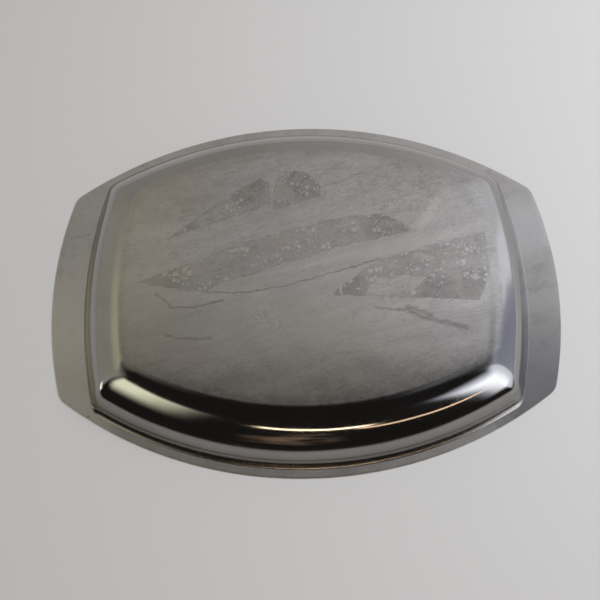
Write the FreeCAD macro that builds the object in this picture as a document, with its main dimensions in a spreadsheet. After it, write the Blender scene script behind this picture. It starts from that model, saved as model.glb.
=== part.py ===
import FreeCAD, Part
import math
import os
import Sketcher

# Serving tray pressed from one stainless steel sheet, upside down: the flange lies on the ground plane and
# the base is on top. X runs from handle to handle, Y across, Z up, with the origin at the centre of the
# flange's resting plane. Lengths are in millimetres and angles in degrees.
DIMENSIONS = (
    ("tray_length", 420.0, "over the two handles"),
    ("tray_depth", 318.0, "over the two long sides"),
    ("tray_height", 31.0, "from the flange's resting plane to the base"),
    ("sheet_thickness", 0.9, "of the pressed steel"),
    ("side_radius", 321.5, "of the long sides in plan"),
    ("end_radius", 330.0, "of the handle ends in plan"),
    ("corner_radius", 16.0, "of the flange's corners in plan"),
    ("edge_rounding", 0.35, "of the trimmed edge"),
    ("pan_length", 366.8, "over the crease between flange and wall"),
    ("pan_depth", 304.8, "over the same crease, across"),
    ("pan_side_radius", 319.5, "of the crease's long sides in plan"),
    ("pan_end_radius", 390.0, "of the crease's ends in plan"),
    ("pan_corner_radius", 14.0, "of the crease's corners in plan"),
    ("base_corner_radius", 20.0, "of the corners where the base turns flat"),
    ("crease_angle", 22.0, "slope of the wall where it leaves the flange"),
    ("wall_angle", 66.0, "steepest slope of the wall"),
    ("root_radius", 10.4, "of the concave bend from flange to wall"),
    ("crown_radius", 40.5, "of the convex bend from wall to base"),
    ("end_gain", 2.8, "how much further out the wall stands at the ends, where its foot is a tighter bend"),
)
# Slopes of the sections through the two bends, as shares of the wall's slope.
ROOT_SHARES = (0.4, 0.7, 1.0)
CROWN_SHARES = (1.0, 0.75, 0.5, 0.25, 0.0)
NODE = "serving_tray"


def make_sheet(doc):
    """Spreadsheet with one row a dimension: its meaning in column A and its value, with an alias, in B."""
    sheet = doc.addObject("Spreadsheet::Sheet", "Sizes")
    for row, (alias, value, meaning) in enumerate(DIMENSIONS, start=1):
        sheet.set(f"A{row}", f"{alias}, {meaning}")
        sheet.set(f"B{row}", str(value))
        sheet.setAlias(f"B{row}", alias)
    doc.recompute()
    return sheet


def beyond(centre, through, radius):
    """Point at radius from centre, in the direction of another point."""
    gap = math.dist(centre, through)
    return tuple(c + (t - c) * radius / gap for c, t in zip(centre, through))


def corner_centre(side_y, side_reach, end_x, end_reach):
    """First-quadrant point at side_reach from (0, side_y) and at end_reach from (end_x, 0)."""
    gap = math.hypot(end_x, side_y)
    along = (side_reach**2 - end_reach**2 + gap**2) / (2 * gap)
    across = math.sqrt(side_reach**2 - along**2)
    return (end_x * along - side_y * across) / gap, side_y - (side_y * along + end_x * across) / gap


def outline_arcs(half_length, half_depth, side_radius, end_radius, corner_radius):
    """Eight tangent arcs of a barrel-shaped outline, anticlockwise: (centre, radius, start, end) of each."""
    side_y = half_depth - side_radius
    end_x = half_length - end_radius
    corner = corner_centre(side_y, side_radius - corner_radius, end_x, end_radius - corner_radius)
    at_end = beyond((end_x, 0), corner, end_radius)
    at_side = beyond((0, side_y), corner, side_radius)
    arcs = []
    for x, y in ((1, 1), (-1, 1), (-1, -1), (1, -1)):
        first, second = (at_end, at_side) if x == y else (at_side, at_end)
        start = (first[0] * x, first[1] * y)
        end = (second[0] * x, second[1] * y)
        arcs.append(((corner[0] * x, corner[1] * y), corner_radius, start, end))
        if x == y:
            arcs.append(((0, side_y * y), side_radius, end, (-end[0], end[1])))
        else:
            arcs.append(((end_x * x, 0), end_radius, end, (end[0], -end[1])))
    return arcs


def arc_geometry(centre, radius, start, end):
    circle = Part.Circle(FreeCAD.Vector(*centre, 0), FreeCAD.Vector(0, 0, 1), radius)
    turns = [math.atan2(point[1] - centre[1], point[0] - centre[0]) for point in (start, end)]
    return Part.ArcOfCircle(circle, *turns)


def add_outline(body, name, outline, height):
    """Sketch of a barrel-shaped outline in the body, with every size bound to the sheet.

    outline holds the expressions for half length, half depth, side, end and corner radius, in that order, and
    height the one for the sketch's height above the ground plane.
    """
    sketch = body.newObject("Sketcher::SketchObject", name)
    plane = next(feature for feature in body.Origin.OriginFeatures if feature.Role == "XY_Plane")
    sketch.AttachmentSupport = [(plane, "")]
    sketch.MapMode = "FlatFace"
    sketch.setExpression("AttachmentOffset.Base.z", height)
    half_length, half_depth, side_radius, end_radius, corner_radius = outline
    values = [sketch.evalExpression(expression) for expression in outline]
    arcs = outline_arcs(*values)
    for arc in arcs:
        sketch.addGeometry(arc_geometry(*arc), False)
    for index in range(len(arcs)):
        sketch.addConstraint(Sketcher.Constraint("Tangent", index, 2, (index + 1) % len(arcs), 1))

    def bind(label, expression, *constraint):
        value = sketch.evalExpression(expression)
        position = sketch.addConstraint(Sketcher.Constraint(*constraint, value))
        sketch.renameConstraint(position, label)
        sketch.setExpression(f"Constraints.{label}", expression)

    top_side, left_end, bottom_side, right_end = 1, 3, 5, 7
    side_offset = f"{side_radius} - ({half_depth})"
    end_offset = f"{end_radius} - ({half_length})"
    for label, index in (("top", top_side), ("bottom", bottom_side)):
        sketch.addConstraint(Sketcher.Constraint("PointOnObject", index, 3, -2))
        bind(f"{label}_radius", side_radius, "Radius", index)
    for label, index in (("left", left_end), ("right", right_end)):
        sketch.addConstraint(Sketcher.Constraint("PointOnObject", index, 3, -1))
        bind(f"{label}_radius", end_radius, "Radius", index)
    bind("top_centre", side_offset, "DistanceY", top_side, 3, -1, 1)
    bind("bottom_centre", side_offset, "DistanceY", -1, 1, bottom_side, 3)
    bind("left_centre", end_offset, "DistanceX", -1, 1, left_end, 3)
    bind("right_centre", end_offset, "DistanceX", right_end, 3, -1, 1)
    for index in range(0, len(arcs), 2):
        bind(f"corner_radius_{index}", corner_radius, "Radius", index)
    return sketch


WALL = "Sizes.wall_angle"
ROOT_RUN = "(Sizes.root_radius * (sin(Sizes.wall_angle) - sin(Sizes.crease_angle)))"
ROOT_RISE = "Sizes.root_radius * (cos(Sizes.crease_angle) - cos(Sizes.wall_angle))"
CROWN_RISE = "Sizes.crown_radius * (1 - cos(Sizes.wall_angle))"
WALL_RISE = f"(Sizes.tray_height - Sizes.sheet_thickness - {ROOT_RISE} - {CROWN_RISE})"


def root_point(slope):
    """Inset from the crease and height of the pressing's outer face where the concave bend has this slope."""
    inset = f"Sizes.root_radius * (sin({slope}) - sin(Sizes.crease_angle))"
    height = f"Sizes.sheet_thickness + Sizes.root_radius * (cos(Sizes.crease_angle) - cos({slope}))"
    return inset, height


def crown_point(slope):
    """The same where the convex bend has this slope."""
    foot = f"{ROOT_RUN} + {WALL_RISE} / tan(Sizes.wall_angle)"
    inset = f"{foot} + Sizes.crown_radius * (sin(Sizes.wall_angle) - sin({slope}))"
    height = f"Sizes.tray_height - Sizes.crown_radius * (1 - cos({slope}))"
    return inset, height


def pan_outline(inset, thinning):
    """Expressions of the pan's outline at an inset from the crease, with its arcs thinning smaller."""
    share = f"({inset}) / ({crown_point('0')[0]})"
    widening = "(Sizes.base_corner_radius - Sizes.pan_corner_radius)"
    gain = f"Sizes.end_gain * min(1; ({inset}) / {ROOT_RUN})"
    return (
        f"Sizes.pan_length / 2 - ({inset}) + {gain} - {thinning}",
        f"Sizes.pan_depth / 2 - ({inset}) - {thinning}",
        f"Sizes.pan_side_radius - ({inset}) - {thinning}",
        f"Sizes.pan_end_radius - ({inset}) + {gain} - {thinning}",
        f"Sizes.pan_corner_radius + {widening} * {share} - {thinning}",
    )


def add_sections(body, name, inner):
    """Sketches up the pan's wall, on the outer face or a sheet's thickness inside it."""
    slopes = [(root_point, f"{WALL} * {share}") for share in ROOT_SHARES]
    slopes += [(crown_point, f"{WALL} * {share}") for share in CROWN_SHARES]
    thickness = "Sizes.sheet_thickness" if inner else "0"
    crease_height = "0" if inner else "Sizes.sheet_thickness"
    crease_thinning = f"{thickness} * tan(Sizes.crease_angle / 2)"
    sections = [add_outline(body, f"{name}_crease", pan_outline("0", crease_thinning), crease_height)]
    for number, (point, slope) in enumerate(slopes, start=1):
        inset, height = point(slope)
        outline = pan_outline(inset, f"{thickness} * sin({slope})")
        sections.append(add_outline(body, f"{name}_{number}", outline, f"{height} - {thickness} * cos({slope})"))
    return sections


def add_loft(body, kind, name, sections):
    loft = body.newObject(f"PartDesign::{kind}", name)
    loft.Profile = sections[0]
    loft.Sections = sections[1:]
    return loft


def make_tray(doc):
    """The pressing: a trimmed flange, and a pan raised on it and hollowed from below."""
    body = doc.addObject("PartDesign::Body", NODE)
    body.Label = NODE
    outline = (
        "Sizes.tray_length / 2",
        "Sizes.tray_depth / 2",
        "Sizes.side_radius",
        "Sizes.end_radius",
        "Sizes.corner_radius",
    )
    flange = body.newObject("PartDesign::Pad", "flange")
    flange.Profile = add_outline(body, "flange_outline", outline, "0")
    flange.setExpression("Length", "Sizes.sheet_thickness")
    doc.recompute()
    edge = body.newObject("PartDesign::Fillet", "trimmed_edge")
    edge.Base = (flange, ["Face" + str(index + 1) for index in horizontal_faces(flange.Shape)])
    edge.setExpression("Radius", "Sizes.edge_rounding")
    add_loft(body, "AdditiveLoft", "pan", add_sections(body, "outer", False))
    add_loft(body, "SubtractiveLoft", "well", add_sections(body, "inner", True))
    doc.recompute()
    return body


def horizontal_faces(shape):
    """Indices of the faces whose bounding box has no height."""
    return [index for index, face in enumerate(shape.Faces) if face.BoundBox.ZLength < 1e-6]


def check(doc, body):
    """Stop if an object failed or the pressing isn't one valid solid."""
    for item in doc.Objects:
        if {"Invalid", "Error"} & set(item.State):
            raise RuntimeError(f"{item.Label} failed: {item.State}")
    if body.Shape.isNull() or not body.Shape.isValid() or len(body.Shape.Solids) != 1:
        raise RuntimeError(f"{body.Label} isn't one valid solid")


document = FreeCAD.newDocument("serving_tray")
make_sheet(document)
tray = make_tray(document)
check(document, tray)
os.makedirs("parts", exist_ok=True)
tray.Shape.exportStep(os.path.join("parts", f"{NODE}.step"))
print(f"{NODE}: volume {tray.Shape.Volume / 1000:.1f} cm3, area {tray.Shape.Area / 100:.0f} cm2")
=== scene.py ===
import functools
import math
from types import SimpleNamespace

import bpy
import numpy as np
from mathutils import Matrix, Vector


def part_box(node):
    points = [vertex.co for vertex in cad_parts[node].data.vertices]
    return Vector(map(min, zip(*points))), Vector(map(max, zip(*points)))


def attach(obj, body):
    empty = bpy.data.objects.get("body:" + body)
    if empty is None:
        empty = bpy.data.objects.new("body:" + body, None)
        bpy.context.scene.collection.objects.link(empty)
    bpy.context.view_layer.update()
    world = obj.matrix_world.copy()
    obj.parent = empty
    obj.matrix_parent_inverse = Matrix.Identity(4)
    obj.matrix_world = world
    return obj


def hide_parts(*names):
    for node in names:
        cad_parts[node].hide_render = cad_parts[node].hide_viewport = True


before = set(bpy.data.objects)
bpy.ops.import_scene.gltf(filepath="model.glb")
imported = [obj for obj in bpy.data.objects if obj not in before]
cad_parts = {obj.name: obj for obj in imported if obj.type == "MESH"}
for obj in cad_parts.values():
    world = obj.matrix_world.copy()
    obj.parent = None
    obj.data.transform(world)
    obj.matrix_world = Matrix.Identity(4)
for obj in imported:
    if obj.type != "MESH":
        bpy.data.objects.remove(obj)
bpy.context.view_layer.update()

NODE = "serving_tray"
MM = 0.001  # metres
LOW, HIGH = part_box(NODE)
HALF_LENGTH = (HIGH.x - LOW.x) / 2
HALF_DEPTH = (HIGH.y - LOW.y) / 2
HEIGHT = HIGH.z - LOW.z

# The pressing's own sizes, in metres.
THICKNESS = 0.9 * MM
SIDE_RADIUS = 321.5 * MM
END_RADIUS = 330.0 * MM
CORNER_RADIUS = 16.0 * MM
PAN_HALF_LENGTH = HALF_LENGTH - 26.6 * MM
PAN_HALF_DEPTH = HALF_DEPTH - 6.6 * MM
PAN_SIDE_RADIUS = 319.5 * MM
PAN_END_RADIUS = 390.0 * MM
PAN_CORNER_RADIUS = 14.0 * MM
BASE_CORNER_RADIUS = 20.0 * MM
CREASE_ANGLE = math.radians(22)
WALL_ANGLE = math.radians(66)
ROOT_RADIUS = 10.4 * MM
CROWN_RADIUS = 40.5 * MM
# How much further out the wall stands at the ends than along the sides, where its foot is a wider bend.
END_GAIN = 2.8 * MM

RIM_WIDTH = HALF_LENGTH - PAN_HALF_LENGTH

# Points along each arc of an outline.
SIDE_STEPS = 96
END_STEPS = 64
CORNER_STEPS = 22

# Rings over each part of the profile.
EDGE_STEPS = 5
FLANGE_STEPS = 6
ROOT_STEPS = 12
WALL_STEPS = 3
CROWN_STEPS = 30
BASE_STEPS = 12
# How far across the flange its last ring is, which keeps the crease crisp.
BESIDE_CREASE = 0.985
# Size of the innermost ring of the base, as a share of its edge.
MIDDLE_RING = 0.04


def outline(half_length, half_depth, side_radius, end_radius, corner_radius):
    """Barrel-shaped closed outline of eight tangent arcs, anticlockwise from the +X end's lower corner."""
    side_y = half_depth - side_radius
    end_x = half_length - end_radius
    gap = math.hypot(end_x, side_y)
    side_reach = side_radius - corner_radius
    end_reach = end_radius - corner_radius
    along = (side_reach**2 - end_reach**2 + gap**2) / (2 * gap)
    across = math.sqrt(side_reach**2 - along**2)
    corner = np.array([end_x * along - side_y * across, side_y * gap - side_y * along - end_x * across]) / gap
    end_turn = math.atan2(corner[1], corner[0] - end_x)
    side_turn = math.atan2(corner[1] - side_y, corner[0])

    def arc(centre, radius, start, stop, steps):
        turns = np.linspace(start, stop, steps, endpoint=False)
        return np.array(centre) + radius * np.column_stack([np.cos(turns), np.sin(turns)])

    right = arc((end_x, 0), end_radius, -end_turn, end_turn, END_STEPS)
    corner_a = arc(corner, corner_radius, end_turn, side_turn, CORNER_STEPS)
    top = arc((0, side_y), side_radius, side_turn, math.pi - side_turn, SIDE_STEPS)
    corner_b = arc(corner * (-1, 1), corner_radius, math.pi - side_turn, math.pi - end_turn, CORNER_STEPS)
    half = np.vstack([right, corner_a, top, corner_b])
    return np.vstack([half, -half])


ROOT_RISE = ROOT_RADIUS * (math.cos(CREASE_ANGLE) - math.cos(WALL_ANGLE))
ROOT_RUN = ROOT_RADIUS * (math.sin(WALL_ANGLE) - math.sin(CREASE_ANGLE))
CROWN_RISE = CROWN_RADIUS * (1 - math.cos(WALL_ANGLE))
WALL_RISE = HEIGHT - THICKNESS - ROOT_RISE - CROWN_RISE
WALL_RUN = WALL_RISE / math.tan(WALL_ANGLE)
PAN_RUN = ROOT_RUN + WALL_RUN + CROWN_RADIUS * math.sin(WALL_ANGLE)


def pan_ring(inset, thinning=0.0):
    """Outline of the pan at an inset from the crease, drawn in by a thinning for the inner face."""
    corner = PAN_CORNER_RADIUS + (BASE_CORNER_RADIUS - PAN_CORNER_RADIUS) * inset / PAN_RUN
    side_shrink = inset + thinning
    end_shrink = side_shrink - END_GAIN * min(1.0, inset / ROOT_RUN)
    return outline(
        PAN_HALF_LENGTH - end_shrink,
        PAN_HALF_DEPTH - side_shrink,
        PAN_SIDE_RADIUS - side_shrink,
        PAN_END_RADIUS - end_shrink,
        corner - thinning,
    )


def profile():
    """Inset from the crease, height and slope of the outer face, from the crease up to the base."""
    points = []
    for slope in np.linspace(CREASE_ANGLE, WALL_ANGLE, ROOT_STEPS):
        inset = ROOT_RADIUS * (math.sin(slope) - math.sin(CREASE_ANGLE))
        height = THICKNESS + ROOT_RADIUS * (math.cos(CREASE_ANGLE) - math.cos(slope))
        points.append((inset, height, slope))
    for share in np.linspace(0, 1, WALL_STEPS + 1)[1:-1]:
        inset = ROOT_RUN + WALL_RUN * share
        height = THICKNESS + ROOT_RISE + WALL_RISE * share
        points.append((inset, height, WALL_ANGLE))
    for slope in np.linspace(WALL_ANGLE, 0, CROWN_STEPS):
        inset = PAN_RUN - CROWN_RADIUS * math.sin(slope)
        height = HEIGHT - CROWN_RADIUS * (1 - math.cos(slope))
        points.append((inset, height, slope))
    return points


def face_rings(inner):
    """Each ring's outline, height and inset from the crease, from the trimmed edge to the base's middle."""
    rounding = THICKNESS / 2
    rings = []
    for turn in np.linspace(0, math.pi / 2, EDGE_STEPS + 1)[1:]:
        inset = rounding * (1 - math.cos(turn))
        ring = outline(HALF_LENGTH - inset, HALF_DEPTH - inset, SIDE_RADIUS - inset, END_RADIUS - inset,
                       CORNER_RADIUS - inset)
        away = rounding * math.sin(turn)
        height = rounding - away if inner else rounding + away
        rings.append((ring, height, -RIM_WIDTH))
    flange_height = 0.0 if inner else THICKNESS
    flange_edge = rings[-1][0]
    thinning = THICKNESS * math.tan(CREASE_ANGLE / 2) if inner else 0.0
    crease = pan_ring(0.0, thinning)
    for share in (*np.linspace(0, 1, FLANGE_STEPS + 1)[1:-1], BESIDE_CREASE):
        rings.append((flange_edge + (crease - flange_edge) * share, flange_height, -RIM_WIDTH * (1 - share)))
    rings.append((crease, flange_height, 0.0))
    for inset, height, slope in profile()[1:]:
        if inner:
            ring = pan_ring(inset, THICKNESS * math.sin(slope))
            rings.append((ring, height - THICKNESS * math.cos(slope), inset))
        else:
            rings.append((pan_ring(inset), height, inset))
    base, base_height, inset = rings[-1]
    for share in np.linspace(1, MIDDLE_RING, BASE_STEPS + 1)[1:]:
        rings.append((base * share, base_height, inset + (1 - share) * PAN_HALF_DEPTH))
    return rings


def build_tray():
    """The pressing as one closed mesh, with each point's inset from the crease and whether it is outside."""
    outer = face_rings(False)
    inner = face_rings(True)
    edge = outline(HALF_LENGTH, HALF_DEPTH, SIDE_RADIUS, END_RADIUS, CORNER_RADIUS)
    count = len(edge)
    rings = [*reversed(inner), (edge, THICKNESS / 2, -RIM_WIDTH), *outer]
    verts = [np.column_stack([ring, np.full(count, height)]) for ring, height, _ in rings]
    insets = [np.full(count, inset / MM) for _, _, inset in rings] + [[rings[0][2] / MM, rings[-1][2] / MM]]
    faces = []
    for level in range(len(rings) - 1):
        first = level * count
        for step in range(count):
            ahead = (step + 1) % count
            faces.append((first + step, first + ahead, first + count + ahead, first + count + step))
    inner_middle = len(rings) * count
    outer_middle = inner_middle + 1
    top = inner_middle - count
    verts = np.vstack([*verts, [0, 0, rings[0][1]], [0, 0, rings[-1][1]]])
    for step in range(count):
        ahead = (step + 1) % count
        faces.append((inner_middle, ahead, step))
        faces.append((outer_middle, top + step, top + ahead))
    outside = np.zeros(len(verts))
    outside[len(inner) * count:] = 1
    outside[inner_middle] = 0
    mesh = bpy.data.meshes.new("tray")
    mesh.from_pydata(verts.tolist(), [], faces)
    for name, values in (("inset", np.concatenate(insets)), ("outside", outside)):
        mesh.attributes.new(name, "FLOAT", "POINT").data.foreach_set("value", values)
    mesh.shade_smooth()
    tray = bpy.data.objects.new("tray", mesh)
    bpy.context.collection.objects.link(tray)
    return tray


class Nodes:
    """Adds nodes to one tree. Each method gives back the new node's output."""

    def __init__(self, tree):
        self.tree = tree

    def put(self, socket, value):
        """Links a node's output to a socket, or sets the socket to a value."""
        if isinstance(value, bpy.types.NodeSocket):
            self.tree.links.new(value, socket)
        else:
            socket.default_value = value

    def add(self, kind, inputs, output=0, **settings):
        node = self.tree.nodes.new("ShaderNode" + kind)
        for name, value in settings.items():
            setattr(node, name, value)
        for key, value in inputs.items():
            self.put(node.inputs[key], value)
        return node.outputs[output]

    def math(self, operation, first, second=0.0, third=0.0):
        return self.add("Math", {0: first, 1: second, 2: third}, operation=operation)

    def clamp(self, value):
        return self.add("Clamp", {"Value": value})

    def vector(self, operation, first, second=(0, 0, 0)):
        output = "Value" if operation in ("DOT_PRODUCT", "LENGTH") else "Vector"
        return self.add("VectorMath", {0: first, 1: second}, output, operation=operation)

    def scaled(self, vector, size):
        return self.add("VectorMath", {0: vector, "Scale": size}, operation="SCALE")

    def most(self, *values):
        return functools.reduce(lambda a, b: self.math("MAXIMUM", a, b), values)

    def least(self, *values):
        return functools.reduce(lambda a, b: self.math("MINIMUM", a, b), values)

    def centred(self, noise):
        return self.math("SUBTRACT", noise, 0.5)

    def rest_of(self, share):
        return self.math("SUBTRACT", 1.0, share)

    def turned(self, place, degrees):
        inputs = {"Vector": place, "Angle": math.radians(degrees)}
        return self.add("VectorRotate", inputs, rotation_type="Z_AXIS")

    def product(self, *values):
        return functools.reduce(lambda a, b: self.math("MULTIPLY", a, b), values)

    def total(self, *values):
        return functools.reduce(lambda a, b: self.math("ADD", a, b), values)

    def rise(self, value, start, stop, low=0.0, high=1.0):
        """Goes smoothly from low at start to high at stop."""
        inputs = {"Value": value, "From Min": start, "From Max": stop, "To Min": low, "To Max": high}
        return self.add("MapRange", inputs, interpolation_type="SMOOTHSTEP")

    def beside(self, value, centre, outer, inner):
        """Goes smoothly from 0 where a value is outer away from the centre to 1 where it is inner away."""
        return self.rise(self.math("ABSOLUTE", self.math("SUBTRACT", value, centre)), outer, inner)

    def noise(self, place, scale, detail=3.0, rough=0.5, bend=0.0, output="Fac"):
        """Noise whose marks are about 1 / scale wide."""
        inputs = {"Vector": place, "Scale": scale, "Detail": detail, "Roughness": rough, "Distortion": bend}
        return self.add("TexNoise", inputs, output)

    def spots(self, place, scale, rarity, size):
        """Round spots of many sizes, one in each cell whose chance is over rarity, as 0 to 1."""
        node = self.tree.nodes.new("ShaderNodeTexVoronoi")
        self.put(node.inputs["Vector"], place)
        self.put(node.inputs["Scale"], scale)
        chance = self.vector("DOT_PRODUCT", node.outputs["Color"], (1, 0, 0))
        radius = self.rise(chance, rarity, 1.0, -0.05, size)
        return self.rise(self.math("SUBTRACT", node.outputs["Distance"], radius), 0.04, -0.04)

    def blend(self, share, first, second):
        """Mixes two colours; the Mix node has its colour sockets after those of its other kinds."""
        node = self.tree.nodes.new("ShaderNodeMix")
        node.data_type = "RGBA"
        for socket, value in zip((node.inputs[0], node.inputs[6], node.inputs[7]), (share, first, second)):
            self.put(socket, value)
        return node.outputs[2]


# Colours, as red, green, blue and alpha.
DARK_STEEL = (0.22, 0.215, 0.21, 1)
LIGHT_STEEL = (0.54, 0.525, 0.51, 1)
PAPER = (0.75, 0.74, 0.73, 1)
DARK_CEILING = (0.018, 0.017, 0.016, 1)
SOFT_LIGHT = (0.405, 0.392, 0.37, 1)
PALE_WALL = (0.58, 0.58, 0.58, 1)

# Half the width of the paper, in metres.
FLOOR_REACH = 12.0

# How far uneven edges wander, and how far in from the crease the satin base ends, in millimetres.
WANDER = 5.0
SATIN_EDGE = 35.5
# Turn that lays the wiped streaks along X, in degrees.
WIPED_ANGLE = -16

# Marks on the satin base, as points in millimetres from the middle. Outlines run anticlockwise.
# What is left of a torn film.
SHARDS = [
    [(-110, 35), (-28, 66), (-29, 84), (-36, 89), (-50, 82), (-72, 66)],
    [(-24, 61), (20, 74), (12, 84), (5, 93), (-9, 98), (-20, 94), (-25, 75)],
    [(-133, -4), (-100, -11.5), (-78, -13), (-70, -6.5), (-60, 25), (-90, 13)],
    [(-72, -7.5), (50, 31), (50, 53), (30, 50), (-8, 41), (-60, 25), (-75, 19)],
    [(40, 28), (88, 37), (78, 47), (65, 53), (40, 52)],
    [(22, -18), (50, -20.5), (138, -25), (148, -2), (147, 35), (60, 12)],
]
# Where the film has gone within its shards.
BARE_PATCHES = [
    [(48, -19), (72, -19), (88, -14), (99, -6), (97, -4), (80, -2), (57, -5)],
    [(28, -21), (30, -21), (30, -8), (28, -8)],
    [(131, -4), (136, -9), (142, -6), (138, -2)],
    [(94, 13), (99, 8), (105, 11), (103, 14), (97, 17)],
]
# Lighter wiped patches between the shards.
LIGHT_PATCHES = [
    [(-75, -8), (60, 12.5), (147, 35), (150, 50)],
    [(90, 40), (146, 42), (138, 62), (122, 82), (106, 68)],
    [(-152, 30), (-114, 37), (-104, 50), (-138, 50)],
    [(28, 95), (64, 100), (70, 118), (40, 116)],
]
# A light wedge beside the shards.
FAN = [(86, 41), (98, 37), (115, 65), (110, 69)]
# Where the film is darkest: centre and reach.
DARK_SPOTS = [
    (-116, -2, 24),
    (34, -14, 20),
    (108, -20, 22),
    (138, -14, 22),
    (74, 44, 30),
    (2, 88, 22),
    (-100, 44, 18),
    (-46, 80, 20),
]
# Lines of points.
CRACK = [(-78, -14), (-45, -15), (-10, -8.5), (30, 3), (60, 12)]
SMUDGES = [
    [(56, -30), (69, -32), (81, -33), (91, -39), (106, -43), (125, -49)],
    [(81, -30), (91, -34), (99, -38)],
    [(-119, -15), (-111, -22), (-106, -27), (-88, -27), (-65, -22)],
    [(-110, -50), (-100, -54), (-75, -54)],
]

# Dark lines on the left handle.
HANDLE_MARKS = [
    [(-199, 53), (-191, 54), (-184, 56)],
    [(-196, 44), (-195.5, 34)],
    [(-207, 41), (-204, 35)],
]


def inside(nodes, place, corners):
    """Distance in from the nearest side of a convex outline; place has 1 as its third number."""
    depths = []
    for (x, y), (next_x, next_y) in zip(corners, corners[1:] + corners[:1]):
        length = math.hypot(next_x - x, next_y - y)
        normal = ((y - next_y) / length, (next_x - x) / length)
        offset = -normal[0] * x - normal[1] * y
        depths.append(nodes.vector("DOT_PRODUCT", place, (*normal, offset)))
    return nodes.least(*depths)


def inside_any(nodes, place, outlines):
    """Distance in from the nearest side of whichever outline a place is in."""
    return nodes.most(*[inside(nodes, place, corners) for corners in outlines])


def from_line(nodes, place, points):
    """Distance from a line through points; place has 1 as its third number."""
    gaps = []
    for start, stop in zip(points, points[1:]):
        start = Vector((*start, 1))
        run = Vector((*stop, 1)) - start
        reach = nodes.vector("SUBTRACT", place, start)
        along = nodes.clamp(nodes.vector("DOT_PRODUCT", reach, run / run.length_squared))
        gaps.append(nodes.vector("LENGTH", nodes.vector("SUBTRACT", reach, nodes.scaled(run, along))))
    return nodes.least(*gaps)


def from_lines(nodes, place, lines):
    """Distance from the nearest of several lines."""
    return nodes.least(*[from_line(nodes, place, points) for points in lines])


def oval(nodes, place, centre, half_length, half_depth, outer, inner):
    """Goes from 0 at the outer edge of an upright oval round a centre to 1 at its inner edge."""
    from_centre = nodes.vector("SUBTRACT", place, centre)
    stretched = nodes.vector("MULTIPLY", from_centre, (1 / half_length, 1 / half_depth, 0))
    return nodes.rise(nodes.vector("LENGTH", stretched), outer, inner)


def scratches(nodes, place, turn, spacing, length):
    """Thin faint lines that run at an angle to X, as 0 to 1."""
    stretched = nodes.vector("MULTIPLY", nodes.turned(place, turn), (1 / length, 1 / spacing, 0))
    return nodes.rise(nodes.noise(stretched, 1.0, 2.0, 0.6), 0.66, 0.74)


class Surface:
    """Where a point lies on the tray, in millimetres, and the noises and areas that several marks share."""

    def __init__(self, nodes):
        self.place = nodes.scaled(nodes.add("TexCoord", {}, "Object"), 1 / MM)
        self.x = nodes.vector("DOT_PRODUCT", self.place, (1, 0, 0))
        self.y = nodes.vector("DOT_PRODUCT", self.place, (0, 1, 0))
        self.inset = nodes.add("Attribute", {}, "Fac", attribute_name="inset")
        self.outside = nodes.add("Attribute", {}, "Fac", attribute_name="outside")

        # Large soft clouds, mottling, flecks and fine grain.
        self.cloud = nodes.noise(self.place, 0.014, 3.0, 0.6, 0.8)
        self.mottle = nodes.noise(self.place, 0.09, 6.0, 0.68, 1.2)
        self.fleck = nodes.noise(self.place, 0.42, 3.0, 0.7, 0.8)
        self.grain = nodes.noise(self.place, 1.1, 2.0, 0.6)

        # A place that wanders a little makes edges uneven. The flat one has 1 as its third number.
        wobble = nodes.noise(self.place, 0.13, 3.0, 0.6, 0.0, "Color")
        wander = nodes.scaled(nodes.vector("SUBTRACT", wobble, (0.5, 0.5, 0.5)), WANDER)
        self.uneven = nodes.vector("ADD", self.place, wander)
        self.flat = nodes.vector("ADD", nodes.vector("MULTIPLY", self.uneven, (1, 1, 0)), (0, 0, 1))
        self.wiped_way = nodes.turned(self.place, WIPED_ANGLE)

        # The satin finish of the base ends just outside its flat part, and the bend below it is polished.
        self.near = nodes.rise(self.y, -62.0, -95.0)
        right = nodes.rise(self.x, 90.0, 135.0)
        satin_edge = nodes.total(SATIN_EDGE, nodes.product(self.near, 6.0), nodes.product(right, -6.0))
        jag = nodes.math("MULTIPLY_ADD", self.near, -6.5, 7.5)
        unevenness = nodes.product(nodes.centred(self.mottle), jag)
        into_base = nodes.math("ADD", nodes.math("SUBTRACT", self.inset, satin_edge), unevenness)
        self.base = nodes.product(nodes.rise(into_base, -2.0, 1.5), self.outside)
        self.flange = nodes.product(nodes.rise(self.inset, 0.3, -0.6), self.outside)
        self.satin = nodes.most(self.base, self.flange)

        self.scratched = nodes.most(
            scratches(nodes, self.place, 17, 0.7, 60),
            scratches(nodes, self.place, -38, 0.8, 45),
            scratches(nodes, self.place, 74, 0.7, 50),
        )


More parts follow.
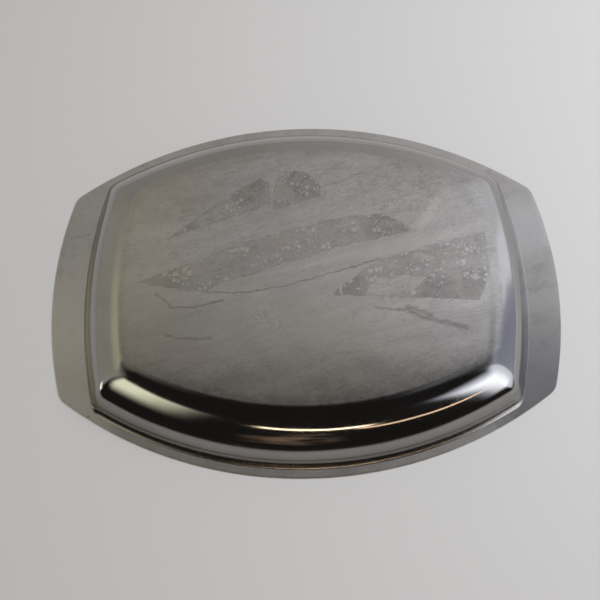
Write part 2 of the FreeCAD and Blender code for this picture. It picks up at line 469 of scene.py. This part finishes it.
def torn_film(nodes, on):
    """Shards with crisp sides, and their parts: the dark film, light spots, tan areas and a thin dark rim."""
    bare = nodes.product(inside_any(nodes, on.flat, BARE_PATCHES), -1.0)
    depth = nodes.least(inside_any(nodes, on.flat, SHARDS), bare)
    shard = nodes.rise(depth, -0.25, 0.35)
    rim = nodes.product(nodes.beside(depth, -0.2, 0.8, 0.2), nodes.rise(on.mottle, 0.42, 0.56))
    clumps = nodes.rise(nodes.noise(on.place, 0.055, 2.0, 0.6), 0.42, 0.58)
    spots = nodes.most(
        nodes.product(nodes.spots(on.uneven, 0.24, 0.1, 0.52), clumps),
        nodes.product(nodes.spots(on.uneven, 0.42, 0.45, 0.42), nodes.rise(clumps, 0.0, 0.6, 0.3, 1.0)),
    )
    dark = []
    for x, y, reach in DARK_SPOTS:
        distance = nodes.vector("LENGTH", nodes.vector("SUBTRACT", on.flat, (x, y, 1)))
        dark.append(nodes.rise(distance, reach, reach / 2))
    patchy = nodes.rise(on.mottle, 0.4, 0.65, 0.43, 0.28)
    strength = nodes.math("MULTIPLY_ADD", nodes.most(*dark), 0.45, patchy)
    cloudy = nodes.rise(nodes.noise(on.place, 0.07, 5.0, 0.7), 0.46, 0.66)
    return SimpleNamespace(
        whole=shard,
        film=nodes.product(shard, strength, nodes.rest_of(spots), on.base),
        spots=nodes.product(shard, spots, on.base),
        tan=nodes.product(shard, cloudy, on.base),
        rim=rim,
    )


def thin_lines(nodes, on, rim):
    """A crack, smudges, the rims of the shards, and feathery curls that are densest at the far right."""
    crack = nodes.rise(from_line(nodes, on.flat, CRACK), 0.75, 0.35)
    wider_right = nodes.rise(on.x, 72.0, 86.0, -4.9, -3.4)
    width = nodes.total(nodes.product(on.mottle, 6.0), nodes.product(on.fleck, 7.0), wider_right)
    smudge = nodes.rise(from_lines(nodes, on.flat, SMUDGES), nodes.math("MAXIMUM", width, 0.5), 0.2)
    feather = nodes.noise(nodes.vector("MULTIPLY", on.wiped_way, (0.05, 0.12, 0)), 1.0, 4.0, 0.62, 2.2)
    curl_region = oval(nodes, on.place, (82, 82, 0), 78, 36, 1.05, 0.5)
    curls = nodes.product(
        nodes.beside(feather, 0.5, 0.05, 0.008),
        nodes.math("MULTIPLY_ADD", curl_region, 0.62, 0.14),
        nodes.rise(on.mottle, 0.35, 0.6),
    )
    lines = nodes.clamp(nodes.total(crack, nodes.product(smudge, 0.95), nodes.product(rim, 0.6), curls))
    return nodes.product(lines, on.base)


def shade_of_steel(nodes, on, shards):
    """How light the steel is, as 0 to 1: each part of its look and how much that lightens or darkens it. Some
    parts are painted shade and painted highlight.
    """
    streak = nodes.noise(nodes.vector("MULTIPLY", on.wiped_way, (0.012, 0.085, 0)), 1.0, 5.0, 0.62, 0.7)
    tide = nodes.noise(nodes.vector("MULTIPLY", on.wiped_way, (0.028, 0.075, 0)), 1.0, 5.0, 0.66, 1.4)
    tide = nodes.product(nodes.beside(tide, 0.52, 0.030, 0.006), nodes.rise(on.cloud, 0.42, 0.56), on.base)
    stain = nodes.product(nodes.rise(nodes.noise(on.place, 0.028, 5.0, 0.65, 1.5), 0.5, 0.68), on.flange)
    wiped = nodes.rise(inside_any(nodes, on.flat, LIGHT_PATCHES), -1.5, 5.0)
    fan = nodes.rise(inside(nodes, on.flat, FAN), -0.4, 1.2)
    # Painted shade: the base is painted darker towards the near side, from the middle to the right.
    near_right_shade = nodes.product(on.near, nodes.rise(on.x, -45.0, 45.0), on.base)
    # Painted highlight: the right edge of the base, beside the middle, is painted lighter.
    beside_middle = nodes.product(nodes.rise(on.y, -50.0, -20.0), nodes.rise(on.y, 15.0, -5.0))
    right_edge_highlight = nodes.product(on.base, nodes.rise(on.x, 100.0, 140.0), beside_middle)
    # Painted reflection: the foot of the wall is painted lighter at the far side and the right.
    foot = nodes.product(nodes.rise(on.inset, 9.0, 4.0), nodes.rise(on.inset, 0.2, 0.6), on.outside)
    far_or_right = nodes.most(nodes.rise(on.y, 40.0, 110.0), nodes.rise(on.x, 90.0, 160.0))
    foot_highlight = nodes.product(foot, far_or_right)
    parts = (
        (nodes.centred(on.cloud), 0.42),
        (nodes.product(nodes.centred(on.mottle), on.satin), 0.4),
        (nodes.product(nodes.centred(on.fleck), on.satin), 0.35),
        (nodes.product(nodes.centred(on.grain), on.satin), 0.14),
        (nodes.product(nodes.centred(streak), on.base), 0.5),
        (tide, -0.20),
        (on.base, 0.14),
        (on.flange, 0.36),
        (stain, -0.22),
        (shards.film, -0.42),
        (shards.spots, 0.2),
        (nodes.product(wiped, nodes.rest_of(shards.whole), on.base), 0.14),
        (nodes.product(fan, on.base), 0.13),
        (near_right_shade, -0.36),
        (thin_lines(nodes, on, shards.rim), -0.46),
        (on.scratched, 0.08),
        (foot_highlight, 0.4),
        (right_edge_highlight, 0.2),
    )
    return nodes.clamp(nodes.total(0.5, *[nodes.product(share, weight) for share, weight in parts]))


def brown_area(nodes, on):
    """Dull brown blotches at the far left of the base."""
    region = oval(nodes, on.place, (-118, 78, 0), 50, 38, 1.1, 0.35)
    blotch = nodes.rise(nodes.noise(on.place, 0.05, 4.0, 0.55, 0.6), 0.42, 0.6)
    return nodes.product(region, nodes.math("MULTIPLY_ADD", blotch, 0.75, 0.15), on.base)


def tints(nodes, on, tan, brown):
    """Each tint that lies on the steel, from the lowest up: how strong it is, and its colour. Some tints are
    painted reflection and painted shade.
    """
    # Painted reflection and shade: the left handle is painted lighter and the right one painted darker
    # towards the near side.
    # The right one has a painted highlight on its far half, and the near flange is painted lighter.
    left_handle = nodes.product(on.flange, nodes.rise(on.x, -140.0, -170.0), nodes.rise(on.y, 55.0, -45.0))
    near_flange = nodes.product(on.flange, nodes.rise(on.y, -115.0, -145.0))
    light = nodes.most(nodes.product(left_handle, 0.62), nodes.product(near_flange, 0.3))
    right_handle = nodes.product(on.flange, nodes.rise(on.x, 140.0, 170.0))
    dark = nodes.product(right_handle, nodes.rise(on.y, 5.0, -85.0), 0.72)
    right_handle_highlight = nodes.product(right_handle, nodes.rise(on.y, 15.0, 45.0), nodes.rise(on.y, 95.0, 65.0), 0.35)

    # Painted warm reflection: the base is tinted olive towards the left and the near side, and little at the
    # right.
    to_left = nodes.rise(on.x, -60.0, -140.0, 0.0, 0.4)
    to_near = nodes.rise(on.y, 10.0, -80.0, 0.0, 0.3)
    olive = nodes.product(nodes.most(to_left, to_near), nodes.rise(on.x, 30.0, 120.0, 1.0, 0.2), on.base)

    mark_edge = nodes.math("MAXIMUM", nodes.math("MULTIPLY_ADD", on.mottle, 16.0, -6.5), -0.4)
    handle_mark = nodes.rise(from_lines(nodes, on.flat, HANDLE_MARKS), mark_edge, -0.6)
    handle_mark = nodes.product(handle_mark, on.flange, 0.5)
    spotty = nodes.rise(nodes.noise(on.place, 0.03, 2.0), 0.45, 0.56)
    brown_spot = nodes.product(nodes.spots(on.uneven, 0.11, 0.8, 0.16), on.flange, spotty, 0.6)

    # Painted shade: the foot of the wall above the crease is painted darker, most at the near side and at the
    # left.
    foot = nodes.product(nodes.rise(on.inset, 14.0, 3.0), nodes.rise(on.inset, -0.5, 0.4), on.outside)
    left = nodes.rise(on.x, -60.0, -150.0)
    foot_shade = nodes.product(foot, nodes.total(nodes.product(on.near, 0.76), nodes.product(left, 0.35), 0.04))
    return (
        (nodes.product(tan, 0.45), (0.40, 0.36, 0.31, 1)),
        (light, (0.78, 0.75, 0.67, 1)),
        (dark, (0.24, 0.235, 0.25, 1)),
        (right_handle_highlight, (0.74, 0.74, 0.76, 1)),
        (nodes.product(brown, 0.45), (0.31, 0.275, 0.235, 1)),
        (olive, (0.50, 0.465, 0.375, 1)),
        (handle_mark, (0.20, 0.19, 0.18, 1)),
        (brown_spot, (0.20, 0.145, 0.11, 1)),
        (foot_shade, (0.20, 0.185, 0.165, 1)),
    )


def roughness(nodes, on, film, brown):
    """Low on the polished bends, higher at their foot and on the satin base and flange."""
    polished = nodes.total(
        0.05,
        nodes.product(on.scratched, 0.10),
        nodes.product(on.mottle, 0.05),
        nodes.product(nodes.rise(on.inset, 15.0, 5.0), 0.15),
    )
    dull = nodes.total(
        0.17,
        nodes.product(nodes.centred(on.mottle), 0.16),
        nodes.product(film, 0.05),
        nodes.product(brown, 0.04),
        nodes.product(on.grain, 0.04),
        nodes.product(on.flange, 0.14),
    )
    return nodes.clamp(nodes.total(polished, nodes.product(on.satin, nodes.math("SUBTRACT", dull, polished))))


def relief(nodes, on):
    """Height of the sheet's long waves, mottling, grain and scratches, in millimetres."""
    return nodes.total(
        nodes.product(nodes.noise(on.place, 0.02, 1.0, 0.4), 0.35),
        nodes.product(on.grain, on.satin, 0.004),
        nodes.product(on.mottle, on.satin, 0.02),
        nodes.product(on.scratched, -0.004),
    )


def steel():
    """Worn stainless steel: a shade between dark and light steel, with tints over it, some of them painted
    reflection and painted shade.
    """
    material = bpy.data.materials.new("stainless_steel")
    material.use_nodes = True
    shader = material.node_tree.nodes["Principled BSDF"]
    nodes = Nodes(material.node_tree)
    on = Surface(nodes)
    shards = torn_film(nodes, on)
    brown = brown_area(nodes, on)
    colour = nodes.blend(shade_of_steel(nodes, on, shards), DARK_STEEL, LIGHT_STEEL)
    for strength, tint in tints(nodes, on, shards.tan, brown):
        colour = nodes.blend(strength, colour, tint)
    bump = nodes.add("Bump", {"Height": relief(nodes, on), "Distance": MM, "Strength": 1.0})
    nodes.put(shader.inputs["Base Color"], colour)
    nodes.put(shader.inputs["Roughness"], roughness(nodes, on, shards.film, brown))
    nodes.put(shader.inputs["Normal"], bump)
    shader.inputs["Metallic"].default_value = 1.0
    return material


# The viewpoint: angles in radians, distances from the tray's size, focal length and sensor in millimetres.
ELEVATION = math.radians(66)
YAW = -0.0271
ROLL = 0.0449
DISTANCE = 3.844 * HALF_LENGTH
ASIDE = 0.0217 * HALF_LENGTH
ABOVE = 0.0383 * HALF_LENGTH
FOCAL = 58.134
SENSOR = 36


def add_camera():
    """Looks at the tray from above and in front, turned and rolled a little."""
    forward = Vector((0, math.cos(ELEVATION), -math.sin(ELEVATION)))
    right = Vector((1, 0, 0))
    up = right.cross(forward)
    place = -DISTANCE * forward - ASIDE * right - ABOVE * up
    right_rolled = right * math.cos(ROLL) - up * math.sin(ROLL)
    up_rolled = right * math.sin(ROLL) + up * math.cos(ROLL)
    turn = Matrix.Rotation(-YAW, 3, "Z")
    axes = Matrix([turn @ right_rolled, turn @ up_rolled, turn @ -forward]).transposed()
    data = bpy.data.cameras.new("camera")
    data.lens = FOCAL
    data.sensor_width = SENSOR
    camera = bpy.data.objects.new("camera", data)
    camera.matrix_world = Matrix.Translation(turn @ place) @ axes.to_4x4()
    bpy.context.collection.objects.link(camera)
    bpy.context.scene.camera = camera


def compass(nodes, way):
    """A direction's azimuth from +X and height above the horizon, in degrees, and its X and Y."""
    split = nodes.tree.nodes.new("ShaderNodeSeparateXYZ")
    nodes.put(split.inputs[0], way)
    x, y, z = split.outputs
    azimuth = nodes.math("DEGREES", nodes.math("ARCTAN2", y, x))
    height = nodes.math("DEGREES", nodes.math("ARCSINE", z))
    return azimuth, height, x, y


def band(nodes, value, low, high, soft_low, soft_high):
    """1 between low and high, and 0 outside, with soft edges."""
    return nodes.product(
        nodes.rise(value, low - soft_low, low + soft_low),
        nodes.rise(value, high + soft_high, high - soft_high),
    )


# How bright and what colour the walls are by azimuth, in degrees anticlockwise from +X.
WALLS = [
    (0, (0.70, 0.72, 0.80)),
    (8, (0.50, 0.52, 0.62)),
    (18, (0.42, 0.44, 0.56)),
    (22, (0.58, 0.60, 0.70)),
    (27, (0.92, 0.94, 1.00)),
    (36, (0.98, 1.00, 1.06)),
    (48, (0.92, 0.93, 0.97)),
    (62, (0.78, 0.78, 0.81)),
    (80, (0.55, 0.535, 0.53)),
    (100, (0.42, 0.40, 0.38)),
    (125, (0.42, 0.40, 0.36)),
    (150, (0.46, 0.44, 0.38)),
    (165, (0.42, 0.41, 0.35)),
    (180, (0.50, 0.49, 0.42)),
]
# What the walls' colours are divided by in the ramp, so that they stay under 1 there.
WALL_TOP = 1.2


def walls(nodes, azimuth, height):
    """The walls' colour all round, mirrored about the X axis, and brighter high up."""
    ramp = nodes.tree.nodes.new("ShaderNodeValToRGB")
    while len(ramp.color_ramp.elements) < len(WALLS):
        ramp.color_ramp.elements.new(0.5)
    for stop, (degrees, tint) in zip(ramp.color_ramp.elements, WALLS):
        stop.position = degrees / 180
        stop.color = (*(part / WALL_TOP for part in tint), 1)
    # Above 38 degrees, the colours lean toward -X.
    lean = nodes.product(nodes.math("MAXIMUM", nodes.math("SUBTRACT", height, 38.0), 0.0), -0.25)
    leaning = nodes.total(nodes.math("ABSOLUTE", azimuth), lean)
    nodes.put(ramp.inputs["Fac"], nodes.math("DIVIDE", leaning, 180.0))
    return nodes.scaled(ramp.outputs["Color"], nodes.rise(height, 56.0, 64.0, WALL_TOP, WALL_TOP * 1.3))


def lit_part(nodes, x, y):
    """0 in the dark part of the room, which is overhead and toward the camera, and 1 round it."""
    far = nodes.rise(y, 0.28, 0.405)
    sides = nodes.product(nodes.rise(nodes.math("ABSOLUTE", x), 0.40, 0.64), nodes.rise(y, -0.12, 0.02))
    right_shoulder = nodes.product(nodes.rise(y, 0.05, 0.24), nodes.rise(x, 0.10, 0.24), 0.31)
    left_shoulder = nodes.product(nodes.rise(y, 0.10, 0.30), nodes.rise(x, -0.12, -0.30), 0.5)
    return nodes.clamp(nodes.most(far, right_shoulder, left_shoulder, sides))


def long_lamp(nodes, azimuth, height, start, stop, low, high, soft, fall):
    """A thin lamp from one azimuth to another, between two heights at its start, that falls along the way."""
    level = nodes.math("MULTIPLY_ADD", nodes.math("SUBTRACT", azimuth, start), fall, height)
    return nodes.product(band(nodes, azimuth, start, stop, 1.5, 4), band(nodes, level, low, high, soft, soft))


def lights(nodes, way, azimuth, height):
    """Each light that the steel mirrors, from the lowest up: where it is, and its colour."""
    # Azimuth from 0 to 360, for the lights at the left.
    around = nodes.math("WRAP", azimuth, 360.0, 0.0)
    patchy = nodes.rise(nodes.noise(way, 7.0, 2.0), 0.35, 0.65)
    brown = nodes.product(band(nodes, azimuth, -104, -85, 6, 6), band(nodes, height, 18, 40, 4, 5), patchy)
    window_low = nodes.rise(azimuth, -38.0, -22.0, 15.0, 5.0)
    above_low = nodes.rise(nodes.math("SUBTRACT", height, window_low), -5.0, 5.0)
    window = nodes.product(band(nodes, azimuth, -43, 7, 4, 3), above_low, nodes.rise(height, 67.0, 55.0))
    core = nodes.product(nodes.rise(azimuth, 4.0, -28.0), nodes.rise(azimuth, -44.0, -36.0),
                         band(nodes, height, 17, 53, 5, 5))
    side = nodes.product(band(nodes, azimuth, 24, 34, 2, 2), band(nodes, height, 4, 33, 3, 4))
    glow = nodes.product(band(nodes, azimuth, 140, 168, 8, 8), band(nodes, height, 40, 54, 7, 3))
    warm = nodes.product(nodes.rise(around, 240.0, 211.0), nodes.rise(around, 184.0, 199.0),
                         nodes.rise(height, 25.0, 47.0), nodes.rise(height, 62.5, 57.0))
    spot = nodes.product(band(nodes, around, 175, 187, 2, 3), band(nodes, height, 0, 8, 2, 3))
    near_lamp = long_lamp(nodes, azimuth, height,
                          start=-106, stop=-72, low=51.9, high=54.3, soft=0.5, fall=0.125)
    right_lamp = long_lamp(nodes, azimuth, height,
                           start=-76, stop=-43, low=44.9, high=46.2, soft=0.4, fall=0.33)
    return (
        (brown, (0.32, 0.215, 0.15, 1)),
        (window, (1.35, 1.42, 1.6, 1)),
        (core, (2.6, 2.7, 2.9, 1)),
        (side, (1.25, 1.29, 1.40, 1)),
        (glow, (0.64, 0.64, 0.46, 1)),
        (warm, (1.65, 1.66, 1.25, 1)),
        (spot, (2.6, 2.5, 2.2, 1)),
        (near_lamp, (8.0, 6.2, 4.2, 1)),
        (right_lamp, (5.5, 3.9, 2.6, 1)),
    )


def add_room():
    """A soft surround: grey at the far side, dark overhead, cool lights at the right and warm at the left."""
    world = bpy.data.worlds.new("world")
    world.use_nodes = True
    world.cycles.sampling_method = "NONE"
    bpy.context.scene.world = world
    nodes = Nodes(world.node_tree)
    way = nodes.add("TexCoord", {}, "Generated")
    azimuth, height, x, y = compass(nodes, way)
    colour = nodes.blend(lit_part(nodes, x, y), DARK_CEILING, walls(nodes, azimuth, height))
    for share, light in lights(nodes, way, azimuth, height):
        colour = nodes.blend(share, colour, light)

    # The paper is lit by soft light all round, and the camera sees a pale wall behind it.
    rays = nodes.tree.nodes.new("ShaderNodeLightPath")
    colour = nodes.blend(rays.outputs["Is Diffuse Ray"], colour, SOFT_LIGHT)
    colour = nodes.blend(rays.outputs["Is Camera Ray"], colour, PALE_WALL)
    nodes.put(world.node_tree.nodes["Background"].inputs["Color"], colour)


def add_panel(name, place, target, size, power, tint):
    """A large soft lamp that lights the paper, and isn't mirrored in the steel."""
    data = bpy.data.lights.new(name, "AREA")
    data.size = size
    data.energy = power
    data.color = tint
    lamp = bpy.data.objects.new(name, data)
    lamp.location = place
    lamp.rotation_euler = (Vector(target) - Vector(place)).to_track_quat("-Z", "Y").to_euler()
    lamp.visible_glossy = False
    bpy.context.collection.objects.link(lamp)


def build_floor():
    """A large sheet of pale paper."""
    mesh = bpy.data.meshes.new("floor")
    corners = [(-FLOOR_REACH, -FLOOR_REACH, 0), (FLOOR_REACH, -FLOOR_REACH, 0),
               (FLOOR_REACH, FLOOR_REACH, 0), (-FLOOR_REACH, FLOOR_REACH, 0)]
    mesh.from_pydata(corners, [], [(0, 1, 2, 3)])
    floor = bpy.data.objects.new("floor", mesh)
    bpy.context.collection.objects.link(floor)
    paper = bpy.data.materials.new("paper")
    paper.use_nodes = True
    shader = paper.node_tree.nodes["Principled BSDF"]
    shader.inputs["Base Color"].default_value = PAPER
    shader.inputs["Roughness"].default_value = 0.9
    floor.data.materials.append(paper)
    return floor


tray = build_tray()
tray.data.materials.append(steel())
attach(tray, "root")
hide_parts(NODE)

floor = build_floor()
add_camera()
add_panel(
    "window_light",
    place=(0.9, 0.25, 1.0),
    target=(0.2, 0.05, 0.0),
    size=0.7,
    power=10.5,
    tint=(0.90, 0.93, 1.0),
)
add_room()
bpy.context.scene.view_settings.view_transform = "Standard"
